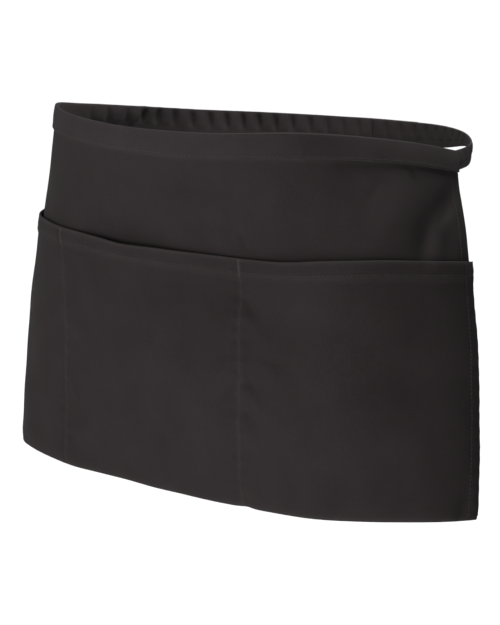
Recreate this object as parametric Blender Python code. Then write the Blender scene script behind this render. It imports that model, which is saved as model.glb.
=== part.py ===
"""Three-pocket waist apron in twill, standing open as it is worn round a waist.

The wearer looks along -Y and +Z is up. The origin is the middle of the waist opening, at half the
waistband's height. All lengths are in metres. The cloth is laid out by its heading: at each level it
is walked from the wearer's right edge to the left one, turning as it goes, so that it keeps its cut
width everywhere, and each level hangs as far below the next one as the cut length allows.
"""

import math
from typing import NamedTuple

import bpy
import numpy as np

# Cut sizes of the apron
APRON_WIDTH = 0.6096
APRON_LENGTH = 0.3048
POCKET_DEPTH = 0.2032
POCKET_COUNT = 3
BAND_HEIGHT = 0.0205
TIE_HEIGHT = 0.0254
TIE_RUN = 0.487
TIE_LAP = 0.048

# Walls and the gap between pieces that touch
CLOTH = 0.001
TIE_CLOTH = 0.0016
CLEARANCE = 0.0003

# Turned hems, the pockets' seams (SEAM_EASE is a share of half the width) and the ties' gathers
POCKET_HEM = 0.0125
HEM_EASE = 0.016
SIDE_HEM = 0.0105
SEAM_EASE = 0.12
GATHER_PITCH = 0.015
GATHER_DEPTH = 0.0011
GATHER_FADE = 0.02
TIE_TWIST = 0.06
LAP_EASE = 0.03

# Knot that closes the two ties on the outside of their lap
KNOT_WIDTH = 0.026
KNOT_HEIGHT = 0.0145
KNOT_DEPTH = 0.009
KNOT_ROUNDING = 0.0038
KNOT_STEPS = 3

# Place of the waist opening's middle, measured from the middle of the cloth's top edge
WAIST_BACK = 0.1735
WAIST_ASIDE = -0.0065

# Fineness of the grid: steps across the apron, rows above and below the mouth, steps round a fold
STEPS_ACROSS = 60
ROWS_ABOVE = 3
ROWS_BELOW = 7
FOLD_STEPS = 4
STEPS_PER_GATHER = 4
WALK_STEPS = 384

# Distance between the middles of two layers that lie on each other, and a fold's outer radius
LAYER = CLOTH + CLEARANCE
FOLD_OUTSIDE = LAYER + CLOTH / 2


class Level(NamedTuple):
    """One level of the hanging cloth.

    down, back and aside are shares of APRON_LENGTH: how far down the cloth the level lies, and how
    far its middle stands behind and to the left of the middle of the top edge. headings are degrees
    from +X at nine even stations, from the wearer's right edge to the left one.
    """

    name: str
    down: float
    back: float
    aside: float
    headings: tuple


class Gape(NamedTuple):
    """How one empty pocket stands open.

    across is where it stands open most, a share of half the width from -1 to 1, and half_width how
    far that spreads, in the same shares. rise is the opening's depth at the mouth, in metres.
    """

    name: str
    across: float
    half_width: float
    rise: float


class Fold(NamedTuple):
    """One soft fold or dent of the cloth, a rounded ridge laid along a short line.

    across is a share of half the width, from -1 to 1, and down a share of the length, both at its
    middle. lean is the turn of its line from straight down, in degrees, towards the left edge. The
    half length and half width are shares of APRON_LENGTH, and rise is in shares of it too, outwards.
    """

    name: str
    across: float
    down: float
    lean: float
    half_length: float
    half_width: float
    rise: float


LEVELS = (
    Level("waist", 0.0, 0.0, 0.0, (-99, -72, -47, -21, 0, 26, 56, 72, 105)),
    Level("pocket mouth", 1 / 3, 0.091, -0.048, (-95, -63, -34, -10, 0, 14, 19, 57, 95)),
    Level("pocket middle", 2 / 3, 0.070, -0.002, (-89, -53, -24, -8, 0, 4, 28, 55, 85)),
    Level("bottom fold", 1.0, 0.116, -0.036, (-84, -48, -20, -4, 0, 4, 16, 37, 85)),
)

# Rise of the top edge above its middle at the same nine stations, as shares of APRON_LENGTH
TOP_RISE = (-0.011, 0.011, 0.029, 0.016, 0.0, -0.007, -0.006, -0.031, -0.074)

# The ties' headings, the rise of their upper edge and their height's share of TIE_HEIGHT at nine
# stations, from the left end of the waistband round the back to its right end
TIE_HEADINGS = (105, 128, 138, 163, 182, 203, 222, 241, 261)
TIE_RISE = (-0.074, -0.067, -0.062, -0.053, -0.050, -0.045, -0.037, -0.027, -0.011)
TIE_DRAWN = (0.73, 0.55, 0.42, 0.76, 0.95, 0.95, 0.96, 1.00, 0.80)

# How far down a tape each row of its wall lies, and the share of the gathers' depth that it moves
TAPE_ROWS = ((0.0, 0.35), (0.5, 1.0), (1.0, 0.6))

# Base colours and roughness of the two cloths
PANEL_CLOTH = ((0.036, 0.030, 0.031), 0.90)
TAPE_CLOTH = ((0.040, 0.034, 0.035), 0.88)

GAPES = (
    Gape("right pocket", -0.83, 0.13, 0.0082),
    Gape("middle pocket", 0.00, 0.17, 0.0070),
    Gape("left pocket", 0.58, 0.15, 0.0082),
)

FOLDS = (
    Fold("crease above the seam", 0.315, 0.18, -6, 0.085, 0.020, -0.0050),
    Fold("second crease above it", 0.300, 0.25, 14, 0.060, 0.020, -0.0040),
    Fold("dent under the mouth", 0.333, 0.415, 0, 0.055, 0.035, -0.0060),
    Fold("dent left of the seam", 0.372, 0.640, 8, 0.080, 0.035, -0.0050),
    Fold("swell right of the seam", 0.300, 0.640, 0, 0.090, 0.045, 0.0040),
    Fold("kink at the fold", 0.345, 0.985, 10, 0.045, 0.022, -0.0080),
    Fold("drape under the band's end", 0.925, 0.165, -46, 0.085, 0.034, -0.0110),
    Fold("foot of that drape", 0.845, 0.280, -8, 0.065, 0.030, -0.0100),
    Fold("swell beside the drape", 0.780, 0.190, -24, 0.120, 0.065, 0.0080),
    Fold("soft fold of the left pocket", 0.800, 0.640, -9, 0.240, 0.075, -0.0060),
    Fold("swell at the left edge", 0.940, 0.700, -6, 0.240, 0.060, 0.0050),
    Fold("pucker on the first seam", -0.290, 0.640, 60, 0.070, 0.022, -0.0035),
    Fold("second pucker", -0.230, 0.690, 60, 0.080, 0.022, -0.0030),
    Fold("crease under the band", 0.822, 0.105, 30, 0.035, 0.014, -0.0040),
    Fold("corner crease", 0.950, 0.975, -12, 0.040, 0.020, -0.0050),
)


def clear_scene():
    """Remove every object of the open file."""
    for obj in list(bpy.data.objects):
        bpy.data.objects.remove(obj, do_unlink=True)


def cloth_material(name, colour, roughness):
    """Return a plain cloth material of its own for one piece."""
    material = bpy.data.materials.new(name)
    material.use_nodes = True
    shader = material.node_tree.nodes["Principled BSDF"]
    shader.inputs["Base Color"].default_value = (*colour, 1.0)
    shader.inputs["Roughness"].default_value = roughness
    shader.inputs["Metallic"].default_value = 0.0
    return material


def smooth_row(values, share):
    """Read evenly spaced values along a smooth curve through them, at shares from 0 to 1."""
    values = np.asarray(values, dtype=float)
    last = len(values) - 1
    place = np.clip(np.asarray(share, dtype=float), 0.0, 1.0) * last
    start = np.minimum(place.astype(int), last - 1)
    step = place - start
    if values.ndim > 1:
        step = step.reshape(step.shape + (1,) * (values.ndim - 1))
    ends = np.concatenate([[2 * values[0] - values[1]], values, [2 * values[-1] - values[-2]]])
    before, here, after, beyond = (ends[start + k] for k in range(4))
    return 0.5 * (2 * here + (after - before) * step
                  + (2 * before - 5 * here + 4 * after - beyond) * step ** 2
                  + (3 * here - before - 3 * after + beyond) * step ** 3)


def smooth_step(value):
    """Rise from 0 to 1 without a corner as the value goes from 0 to 1."""
    value = np.clip(value, 0.0, 1.0)
    return value * value * (3 - 2 * value)


def unit(vectors):
    """Return the vectors at length 1."""
    return vectors / np.linalg.norm(vectors, axis=-1, keepdims=True)


def walk(headings, length):
    """Walk a length in the plan, turning through the headings; return the x and y of each step."""
    share = np.linspace(0.0, 1.0, WALK_STEPS + 1)
    angle = np.radians(smooth_row(headings, share))
    step = length / WALK_STEPS
    east, north = np.cos(angle), np.sin(angle)
    path = np.zeros((WALK_STEPS + 1, 2))
    path[1:, 0] = np.cumsum((east[1:] + east[:-1]) / 2 * step)
    path[1:, 1] = np.cumsum((north[1:] + north[:-1]) / 2 * step)
    return share, path


def level_curves():
    """Return the shares across and the points of every level's curve, one level to a row."""
    curves = []
    height = None
    for level in LEVELS:
        share, path = walk(level.headings, APRON_WIDTH)
        middle = path[WALK_STEPS // 2]
        offset = np.array([level.aside, level.back]) * APRON_LENGTH
        plan = path - middle + offset - np.array([WAIST_ASIDE, WAIST_BACK])
        if height is None:
            height = BAND_HEIGHT / 2 + smooth_row(TOP_RISE, share) * APRON_LENGTH
        else:
            hang = (level.down - above.down) * APRON_LENGTH
            swing = np.linalg.norm(plan - curves[-1][:, :2], axis=1)
            height = height - np.sqrt(hang ** 2 - swing ** 2)
        curves.append(np.column_stack([plan, height]))
        above = level
    return share * 2 - 1, np.array(curves)


def fold_relief(across, down):
    """Return how far the folds push the cloth outwards at places on it, across and down."""
    relief = np.zeros(np.broadcast(across, down).shape)
    for fold in FOLDS:
        lean = math.radians(fold.lean)
        beside = (across - fold.across) * APRON_WIDTH / 2
        below = down - fold.down * APRON_LENGTH
        along = below * math.cos(lean) + beside * math.sin(lean)
        off = beside * math.cos(lean) - below * math.sin(lean)
        reach = (along / (fold.half_length * APRON_LENGTH)) ** 2
        spread = (off / (fold.half_width * APRON_LENGTH)) ** 2
        relief += fold.rise * APRON_LENGTH * np.exp(-reach - spread)
    return relief


class Drape:
    """The hanging cloth's middle surface on one grid that every layer of the apron shares.

    points, outward and downward are arrays of rows by stations: places of the body cloth's middle
    surface, its outward normals and its directions down the cloth.
    """

    def __init__(self):
        self.across = np.linspace(-1.0, 1.0, STEPS_ACROSS + 1)
        mouth = APRON_LENGTH - POCKET_DEPTH
        top = [FOLD_OUTSIDE, BAND_HEIGHT / 2, BAND_HEIGHT]
        between = np.linspace(BAND_HEIGHT, mouth, ROWS_ABOVE + 2)[1:-1]
        under_hem = np.linspace(mouth + POCKET_HEM, APRON_LENGTH - FOLD_OUTSIDE, ROWS_BELOW + 1)
        self.down = np.concatenate([top, between, [mouth], under_hem])
        self.band_row = 2
        self.mouth_row = 2 + ROWS_ABOVE + 1
        self.hem_row = self.mouth_row + 1
        shares, curves = level_curves()
        stations = np.array([[np.interp(self.across, shares, curve[:, axis]) for axis in range(3)]
                             for curve in curves])
        points = smooth_row(stations.transpose(0, 2, 1), self.down / APRON_LENGTH)
        self.measure(points)
        seat = FOLD_OUTSIDE * smooth_step(self.down / mouth)
        relief = fold_relief(self.across[None, :], self.down[:, None]) - seat[:, None]
        self.measure(points + self.outward * relief[..., None])

    def measure(self, points):
        """Keep the points and work out the directions outward and down from them."""
        along = np.gradient(points, self.across, axis=1)
        below = np.gradient(points, self.down, axis=0)
        self.points = points
        self.outward = unit(np.cross(below, along))
        self.downward = unit(below)

    def layer(self, rows, offset, stations=slice(None)):
        """Return the grid of a layer that lies a distance outside the body cloth."""
        shift = np.broadcast_to(offset, self.points.shape[:2])[rows, stations]
        return self.points[rows, stations] + self.outward[rows, stations] * shift[..., None]

    def round_edge(self, row, turn_from, turn_to, below):
        """Return rows that lead a layer round the edge of the body cloth, outside to inside."""
        angles = np.radians(np.linspace(turn_from, turn_to, FOLD_STEPS + 1))
        side = 1.0 if below else -1.0
        return np.array([self.points[row] + LAYER * (math.cos(angle) * self.outward[row]
                                                     + side * math.sin(angle) * self.downward[row])
                         for angle in angles])


def sheet_object(name, grid, thickness, material):
    """Make a wall of cloth from the grid of its middle surface, rows running down its face."""
    rows, columns = grid.shape[:2]
    index = np.arange(rows * columns).reshape(rows, columns)
    corners = np.stack([index[:-1, :-1], index[1:, :-1], index[1:, 1:], index[:-1, 1:]], axis=-1)
    mesh = bpy.data.meshes.new(name)
    mesh.from_pydata(grid.reshape(-1, 3).tolist(), [], corners.reshape(-1, 4).tolist())
    mesh.validate()
    mesh.shade_smooth()
    mesh.materials.append(material)
    sheet = bpy.data.objects.new(name, mesh)
    bpy.context.scene.collection.objects.link(sheet)
    wall = sheet.modifiers.new("wall", "SOLIDIFY")
    wall.thickness = thickness
    wall.offset = 0.0
    wall.use_even_offset = True
    wall.use_quality_normals = True
    return sheet


def pocket_offset(drape):
    """Return how far the pocket layer's middle lies outside the body cloth's, over the whole grid.

    Two layers of cloth lie between them behind the turned hem at the mouth. Below it one layer's
    distance is left, and between its seams each pocket stands open, most at its mouth.
    """
    mouth = APRON_LENGTH - POCKET_DEPTH
    below_hem = (drape.down - mouth - POCKET_HEM) / HEM_EASE
    seat = LAYER * (2 - smooth_step(below_hem))
    place = (drape.across + 1) / 2 * POCKET_COUNT
    from_seam = np.abs(place - np.round(place)) * 2 / POCKET_COUNT
    fullness = sum(gape.rise * np.exp(-((drape.across - gape.across) / gape.half_width) ** 2)
                   for gape in GAPES) * smooth_step(from_seam / SEAM_EASE)
    closing = 1 - smooth_step((drape.down - mouth) / (POCKET_DEPTH - FOLD_OUTSIDE))
    return seat[:, None] + fullness[None, :] * closing[:, None]


def build_body(drape, material):
    """The cloth behind the pockets, from inside the waistband to inside the bottom fold."""
    return sheet_object("body_panel", drape.layer(slice(None), 0.0), CLOTH, material)


def build_pocket(drape, material):
    """The turned-up front layer, round the bottom fold and up to the pockets' mouth."""
    front = drape.layer(slice(drape.mouth_row, None), pocket_offset(drape))
    fold = drape.round_edge(-1, 0, 180, below=True)
    return sheet_object("pocket_panel", np.concatenate([front, fold[1:]]), CLOTH, material)


def build_pocket_hem(drape, material):
    """The turned hem that lies inside the pockets' mouth."""
    rows = slice(drape.mouth_row, drape.hem_row + 1)
    return sheet_object("pocket_hem", drape.layer(rows, pocket_offset(drape) - LAYER), CLOTH, material)


def build_side_hem(drape, name, edge, material):
    """The turned hem behind one side edge, from under the waistband to above the bottom fold."""
    inner = edge * (1 - 2 * SIDE_HEM / APRON_WIDTH)
    places = np.sort([edge, inner])
    top, bottom = BAND_HEIGHT + 2 * CLEARANCE, APRON_LENGTH - FOLD_OUTSIDE - LAYER
    depths = np.concatenate([[top], drape.down[drape.band_row + 1:-1], [bottom]])
    back = drape.layer(slice(None), -LAYER)
    at_places = np.array([[np.interp(places, drape.across, row[:, axis]) for axis in range(3)]
                          for row in back]).transpose(0, 2, 1)
    grid = np.array([[np.interp(depths, drape.down, at_places[:, side, axis]) for axis in range(3)]
                     for side in range(2)]).transpose(2, 0, 1)
    return sheet_object(name, grid, CLOTH, material)


def build_band(drape, material):
    """The waistband: folded tape that holds the top edge of the body cloth between its two walls."""
    rows = slice(drape.band_row, 0, -1)
    front = drape.layer(rows, LAYER)
    over = drape.round_edge(0, 0, 180, below=False)
    back = drape.layer(slice(1, drape.band_row + 1), -LAYER)
    grid = np.concatenate([front, over, back])[::-1]
    return sheet_object("waistband", grid, CLOTH, material)


class TiePath:
    """The run of the ties round the back, from the waistband's left end to its right end.

    upper, outward, downward and height are arrays along the run: the upper edge, the outward normal,
    the direction down the tape and its height. distance is the length walked from the left end.
    """

    def __init__(self, drape):
        count = round(TIE_RUN / GATHER_PITCH) * STEPS_PER_GATHER
        share, path = walk(TIE_HEADINGS, TIE_RUN)
        stations = np.linspace(0.0, 1.0, count + 1)
        start = self.band_corner(drape, -1)
        finish = self.band_corner(drape, 0)
        plan = path + start[:2]
        plan += share[:, None] * (finish[:2] - plan[-1])
        rise = smooth_row(TIE_RISE, share) * APRON_LENGTH
        height = rise + start[2] - rise[0]
        height += share * (finish[2] - height[-1])
        curve = np.column_stack([plan, height])
        self.upper = np.array([np.interp(stations, share, curve[:, axis]) for axis in range(3)]).T
        forward = unit(np.gradient(self.upper, axis=0))
        self.distance = stations * TIE_RUN
        near = np.minimum(self.distance, TIE_RUN - self.distance)
        upright = smooth_step(near / TIE_TWIST)[:, None]
        first_half = (stations < 0.5)[:, None]
        slanted = np.where(first_half, drape.downward[0, -1], drape.downward[0, 0])
        self.downward = unit(slanted * (1 - upright) + np.array([0.0, 0.0, -1.0]) * upright)
        self.outward = unit(np.cross(self.downward, forward))
        fade = smooth_step(near / GATHER_FADE)
        wave = np.cos(2 * math.pi * self.distance / GATHER_PITCH)
        self.gather = GATHER_DEPTH * fade * wave
        self.height = TIE_HEIGHT * smooth_row(TIE_DRAWN, stations)
        self.forward = forward

    @staticmethod
    def band_corner(drape, station):
        """Return the place on the waistband's upper edge at one of its ends."""
        return drape.points[0, station] - drape.downward[0, station] * FOLD_OUTSIDE

    def tape(self, first, last, offset):
        """Return the grid of a tape's middle surface between two stations."""
        part = slice(first, last + 1)
        upper = self.upper[part].copy()
        heading = self.forward[part]
        if first == 0:
            upper[0] += heading[0] * CLEARANCE
        if last == len(self.upper) - 1:
            upper[-1] -= heading[-1] * CLEARANCE
        rows = []
        for share, gathered in TAPE_ROWS:
            depth = self.height[part, None] * share
            shift = (offset + self.gather[part] * gathered)[:, None]
            rows.append(upper + self.downward[part] * depth + self.outward[part] * shift)
        return np.array(rows)


def build_ties(path, material_left, material_right):
    """The two ties: the right one lies on the outside of the left one's end at the back."""
    middle = len(path.upper) // 2
    half_lap = round(TIE_LAP / 2 / TIE_RUN * (len(path.upper) - 1))
    flat = np.zeros(middle + half_lap + 1)
    left = path.tape(0, middle + half_lap, flat)
    first = middle - half_lap
    beyond = path.distance[first:] - path.distance[middle + half_lap] - CLEARANCE
    outside = (TIE_CLOTH + CLEARANCE) * (1 - smooth_step(beyond / LAP_EASE))
    right = path.tape(first, len(path.upper) - 1, outside)
    return (sheet_object("tie_left", left, TIE_CLOTH, material_left),
            sheet_object("tie_right", right, TIE_CLOTH, material_right))


def build_knot(path, material):
    """The plain knot on the outside of the lap: a block rounded on every edge."""
    middle = len(path.upper) // 2
    outward, downward = path.outward[middle], path.downward[middle]
    sideways = unit(np.cross(outward, downward))
    seat = TIE_CLOTH + CLEARANCE + TIE_CLOTH / 2 + GATHER_DEPTH + CLEARANCE
    centre = (path.upper[middle] + downward * path.height[middle] / 2
              + outward * (seat + KNOT_DEPTH / 2))
    half = np.array([KNOT_WIDTH, KNOT_HEIGHT, KNOT_DEPTH]) / 2
    signs = np.array([[x, y, z] for z in (-1, 1) for y in (-1, 1) for x in (-1, 1)], dtype=float)
    axes = np.array([sideways, -downward, outward])
    corners = (signs * half) @ axes + centre
    faces = [(0, 2, 3, 1), (4, 5, 7, 6), (0, 1, 5, 4), (2, 6, 7, 3), (0, 4, 6, 2), (1, 3, 7, 5)]
    if np.dot(np.cross(axes[0], axes[1]), axes[2]) < 0:
        faces = [face[::-1] for face in faces]
    mesh = bpy.data.meshes.new("tie_knot")
    mesh.from_pydata(corners.tolist(), [], faces)
    mesh.shade_smooth()
    mesh.materials.append(material)
    knot = bpy.data.objects.new("tie_knot", mesh)
    bpy.context.scene.collection.objects.link(knot)
    rounding = knot.modifiers.new("rounding", "BEVEL")
    rounding.width = KNOT_ROUNDING
    rounding.segments = KNOT_STEPS
    return knot


def main():
    """Build every piece of the apron."""
    clear_scene()
    drape = Drape()
    path = TiePath(drape)
    build_body(drape, cloth_material("body cloth", *PANEL_CLOTH))
    build_pocket(drape, cloth_material("pocket cloth", *PANEL_CLOTH))
    build_pocket_hem(drape, cloth_material("pocket hem cloth", *PANEL_CLOTH))
    build_side_hem(drape, "side_hem_right", -1.0, cloth_material("right hem cloth", *PANEL_CLOTH))
    build_side_hem(drape, "side_hem_left", 1.0, cloth_material("left hem cloth", *PANEL_CLOTH))
    build_band(drape, cloth_material("band tape", *TAPE_CLOTH))
    build_ties(path, cloth_material("left tie tape", *TAPE_CLOTH),
               cloth_material("right tie tape", *TAPE_CLOTH))
    build_knot(path, cloth_material("knot tape", *TAPE_CLOTH))


main()
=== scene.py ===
"""Looks of a three-pocket waist apron: black twill, folded waistband, gathered ties, stitching.

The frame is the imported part's: metres, the wearer looks along -Y, +Z is up, and the origin is the
middle of the waist opening. Every piece of cloth is a function of its place on the apron, across
and down, so the pieces, their stitches and their weave share one surface.
"""

import sys

import logging
import math
from collections.abc import Callable
from dataclasses import dataclass, field
from enum import Enum

import bpy
import numpy as np
from mathutils import Matrix, Vector


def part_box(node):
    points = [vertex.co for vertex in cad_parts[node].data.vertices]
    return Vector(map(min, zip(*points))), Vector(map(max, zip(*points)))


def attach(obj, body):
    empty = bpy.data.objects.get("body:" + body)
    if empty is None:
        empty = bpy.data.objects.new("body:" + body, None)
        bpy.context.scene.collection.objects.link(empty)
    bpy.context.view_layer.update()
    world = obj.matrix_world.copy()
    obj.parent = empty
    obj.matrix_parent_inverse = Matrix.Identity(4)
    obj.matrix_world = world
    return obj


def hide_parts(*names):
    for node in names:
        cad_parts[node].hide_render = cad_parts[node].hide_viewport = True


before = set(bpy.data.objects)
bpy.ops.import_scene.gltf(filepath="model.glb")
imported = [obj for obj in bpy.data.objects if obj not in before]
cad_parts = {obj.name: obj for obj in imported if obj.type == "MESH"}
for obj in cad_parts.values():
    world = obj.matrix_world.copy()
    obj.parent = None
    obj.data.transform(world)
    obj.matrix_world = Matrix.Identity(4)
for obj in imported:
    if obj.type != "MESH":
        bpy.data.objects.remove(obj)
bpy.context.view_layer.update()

log = logging.getLogger("waist apron")
BODY = "root"
WEAVE_MAP = "weave"
# Name of the wear attribute, which on the ties also holds painted shade in the creases of the gathers.
WEAR_AND_SHADE = "wear"
STEP = 1e-4


# Sizes and tables ---------------------------------------------------------------------------------

@dataclass(frozen=True)
class ApronSizes:
    """Cut sizes of the apron and its walls, in metres, the same as those of its solids."""

    width: float = 0.6096
    length: float = 0.3048
    pocket_depth: float = 0.2032
    pockets: int = 3
    band_height: float = 0.0205
    tie_height: float = 0.0254
    tie_run: float = 0.487
    tie_lap: float = 0.048
    cloth: float = 0.001
    clearance: float = 0.0003
    mouth_hem: float = 0.0125
    side_hem: float = 0.0105
    stitch_row: float = 0.0015
    band_row: float = 0.0022
    seam_ease: float = 0.12
    waist_back: float = 0.1735
    waist_aside: float = -0.0065

    @property
    def mouth(self) -> float:
        """Depth of the pockets' mouth below the top edge."""
        return self.length - self.pocket_depth

    @property
    def layer(self) -> float:
        """Distance between the middles of two layers that lie on each other."""
        return self.cloth + self.clearance

    @property
    def fold_outside(self) -> float:
        """Outer radius of a layer folded round another."""
        return self.layer + self.cloth / 2

    @property
    def hem_foot(self) -> float:
        """Depth of the lower edge of the mouth's hem."""
        return self.mouth + self.mouth_hem

    @property
    def mouth_row(self) -> float:
        """Depth of the stitch row that holds the mouth's hem."""
        return self.hem_foot - self.stitch_row

    @property
    def lower_edge(self) -> float:
        """Depth where the layers start round the bottom fold."""
        return self.length - self.fold_outside

    @property
    def seams(self) -> tuple:
        """Places across of the seams between the pockets."""
        return tuple(2 * k / self.pockets - 1 for k in range(1, self.pockets))


@dataclass(frozen=True)
class Level:
    """One level of the hanging cloth: shares of the length, and headings at nine even stations."""

    name: str
    down: float
    back: float
    aside: float
    headings: tuple


@dataclass(frozen=True)
class Gape:
    """Where across an empty pocket stands open, how far that spreads, and by how many metres."""

    name: str
    across: float
    half_width: float
    rise: float


@dataclass(frozen=True)
class Fold:
    """A soft fold: its middle, its lean in degrees, and its half sizes and rise, in lengths."""

    name: str
    across: float
    down: float
    lean: float
    half_length: float
    half_width: float
    rise: float


@dataclass(frozen=True)
class Wave:
    """A long wave: its rise in metres, its radians per metre across and down, and its phase."""

    rise: float
    across: float
    down: float
    phase: float


@dataclass(frozen=True)
class SewnCloth:
    """How soft cloth stands beside its stitches, in metres.

    It swells away from the seams and from the mouth's row, over their spreads. Beside a seam it
    is tucked and along the mouth's row it puffs, each at its pitch. Below the hem's foot the
    layers close over hem_ease, and near the bottom fold all of it is quiet. The body cloth's own
    slack comes in over slack_ease below the band.
    """

    seam_swell: float = 0.0007
    seam_spread: float = 0.0035
    row_swell: float = 0.0005
    row_spread: float = 0.0022
    tuck: float = 0.0007
    tuck_pitch: float = 0.0115
    tuck_phase: float = 5.0
    tuck_reach: float = 0.004
    puff: float = 0.0003
    puff_pitch: float = 0.0085
    puff_spread: float = 0.005
    hem_ease: float = 0.005
    quiet: float = 0.012
    slack_ease: float = 0.05


SIZES = ApronSizes()
SEWN = SewnCloth()
WAVES = (Wave(0.00030, 61, 23, 0.4), Wave(0.00022, -38, 74, 0.0), Wave(0.00016, 118, -67, 1.9),
         Wave(0.00012, 87, 141, 2.6))

LEVELS = (
    Level("waist", 0.0, 0.0, 0.0, (-99, -72, -47, -21, 0, 26, 56, 72, 105)),
    Level("pocket mouth", 1 / 3, 0.091, -0.048, (-95, -63, -34, -10, 0, 14, 19, 57, 95)),
    Level("pocket middle", 2 / 3, 0.070, -0.002, (-89, -53, -24, -8, 0, 4, 28, 55, 85)),
    Level("bottom fold", 1.0, 0.116, -0.036, (-84, -48, -20, -4, 0, 4, 16, 37, 85)),
)
TOP_RISE = (-0.011, 0.011, 0.029, 0.016, 0.0, -0.007, -0.006, -0.031, -0.074)
TIE_HEADINGS = (105, 128, 138, 163, 182, 203, 222, 241, 261)
TIE_RISE = (-0.074, -0.067, -0.062, -0.053, -0.050, -0.045, -0.037, -0.027, -0.011)
TIE_DRAWN = (0.73, 0.55, 0.42, 0.76, 0.95, 0.95, 0.96, 1.00, 0.88)

GAPES = (
    Gape("right pocket", -0.83, 0.13, 0.0082),
    Gape("middle pocket", 0.00, 0.17, 0.0070),
    Gape("left pocket", 0.58, 0.15, 0.0082),
)

FOLDS = (
    Fold("crease above the seam", 0.315, 0.18, -6, 0.085, 0.020, -0.0050),
    Fold("second crease above it", 0.300, 0.25, 14, 0.060, 0.020, -0.0040),
    Fold("dent under the mouth", 0.333, 0.415, 0, 0.055, 0.035, -0.0060),
    Fold("dent left of the seam", 0.372, 0.640, 8, 0.080, 0.035, -0.0050),
    Fold("swell right of the seam", 0.300, 0.640, 0, 0.090, 0.045, 0.0040),
    Fold("kink at the fold", 0.345, 0.985, 10, 0.045, 0.022, -0.0080),
    Fold("drape under the band's end", 0.925, 0.165, -46, 0.085, 0.034, -0.0110),
    Fold("foot of that drape", 0.845, 0.280, -8, 0.065, 0.030, -0.0100),
    Fold("swell beside the drape", 0.780, 0.190, -24, 0.120, 0.065, 0.0080),
    Fold("soft fold of the left pocket", 0.800, 0.640, -9, 0.240, 0.075, -0.0060),
    Fold("swell at the left edge", 0.940, 0.700, -6, 0.240, 0.060, 0.0050),
    Fold("pucker on the first seam", -0.290, 0.640, 60, 0.070, 0.022, -0.0035),
    Fold("second pucker", -0.230, 0.690, 60, 0.080, 0.022, -0.0030),
    Fold("crease under the band", 0.822, 0.105, 30, 0.035, 0.014, -0.0040),
    Fold("corner crease", 0.950, 0.975, -12, 0.040, 0.020, -0.0050),
)

# Small creases of the whole cloth, too small for the solids
CREASES = (
    Fold("dimple under the bartack", 0.364, 0.456, 40, 0.034, 0.019, -0.0064),
    Fold("long crease beside the seam", 0.440, 0.595, 78, 0.055, 0.019, -0.0058),
    Fold("dimple at the seam's middle", 0.366, 0.655, 42, 0.038, 0.020, -0.0094),
    Fold("its mirror right of the seam", 0.294, 0.682, -52, 0.040, 0.020, -0.0074),
    Fold("low dimple", 0.366, 0.742, 46, 0.036, 0.017, -0.0058),
    Fold("crease to the mouth", 0.318, 0.215, -20, 0.040, 0.009, -0.0032),
    Fold("crease on the mouth", 0.340, 0.282, 24, 0.030, 0.010, -0.0034),
    Fold("short crease above it", 0.276, 0.245, 28, 0.034, 0.009, -0.0026),
    Fold("kink's far side", 0.312, 0.950, -24, 0.030, 0.012, -0.0030),
    Fold("edge of the side drape", 0.862, 0.270, -12, 0.050, 0.016, -0.0020),
    Fold("high edge of it", 0.925, 0.200, -44, 0.040, 0.013, -0.0030),
    Fold("fall behind the drape", 0.930, 0.275, -16, 0.060, 0.026, -0.0034),
    Fold("crease by the band", 0.700, 0.150, -28, 0.040, 0.014, -0.0024),
)

# Small swells beside the seams, only on the pockets' layer, so all of them rise outwards
PUCKERS = (
    Fold("swell below the bartack", 0.392, 0.520, 36, 0.055, 0.026, 0.0072),
    Fold("swell below the long crease", 0.392, 0.705, 44, 0.036, 0.018, 0.0056),
    Fold("swell beside the mirror", 0.280, 0.630, -46, 0.040, 0.020, 0.0048),
    Fold("lowest swell", 0.374, 0.800, 34, 0.040, 0.014, 0.0034),
    Fold("swell above the kink", 0.368, 0.930, 24, 0.035, 0.014, 0.0040),
    Fold("first seam, high", -0.300, 0.500, 30, 0.050, 0.016, 0.0026),
    Fold("first seam, low", -0.296, 0.760, 34, 0.050, 0.016, 0.0026),
)


class Side(Enum):
    """The wearer's right or left side edge, as a share across."""

    RIGHT = -1.0
    LEFT = 1.0

    @property
    def word(self) -> str:
        """The side in the names of pieces."""
        return self.name.lower()

    @property
    def node(self) -> str:
        """The CAD node of this side's hem."""
        return f"side_hem_{self.word}"


# Curves -------------------------------------------------------------------------------------------

def smooth_step(value: np.ndarray) -> np.ndarray:
    """Rise from 0 to 1 without a corner: 3v^2 - 2v^3, held at its ends."""
    value = np.clip(value, 0.0, 1.0)
    return value * value * (3 - 2 * value)


def bell(value: np.ndarray, middle: float, spread: float) -> np.ndarray:
    """A bell curve: exp(-u^2), with u the spreads between the value and the middle."""
    return np.exp(-((value - middle) / spread) ** 2)


def ripple(value: np.ndarray, pitch: float, phase: np.ndarray | float = 0.0) -> np.ndarray:
    """Rise and fall between 0 and 1, once in each pitch."""
    return 0.5 + 0.5 * np.sin(2 * math.pi * value / pitch + phase)


def squared_off(value: np.ndarray, power: float) -> np.ndarray:
    """A value from -1 to 1 with its size raised to a power and its sign kept."""
    return np.sign(value) * np.abs(value) ** power


def unit(vectors: np.ndarray) -> np.ndarray:
    """Return the vectors at length 1."""
    return vectors / np.linalg.norm(vectors, axis=-1, keepdims=True)


def read_rows(place: np.ndarray, places: np.ndarray, rows: np.ndarray) -> np.ndarray:
    """Read rows that belong to rising places at places between them, on straight lines."""
    return np.stack([np.interp(place, places, column) for column in rows.T], axis=-1)


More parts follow.
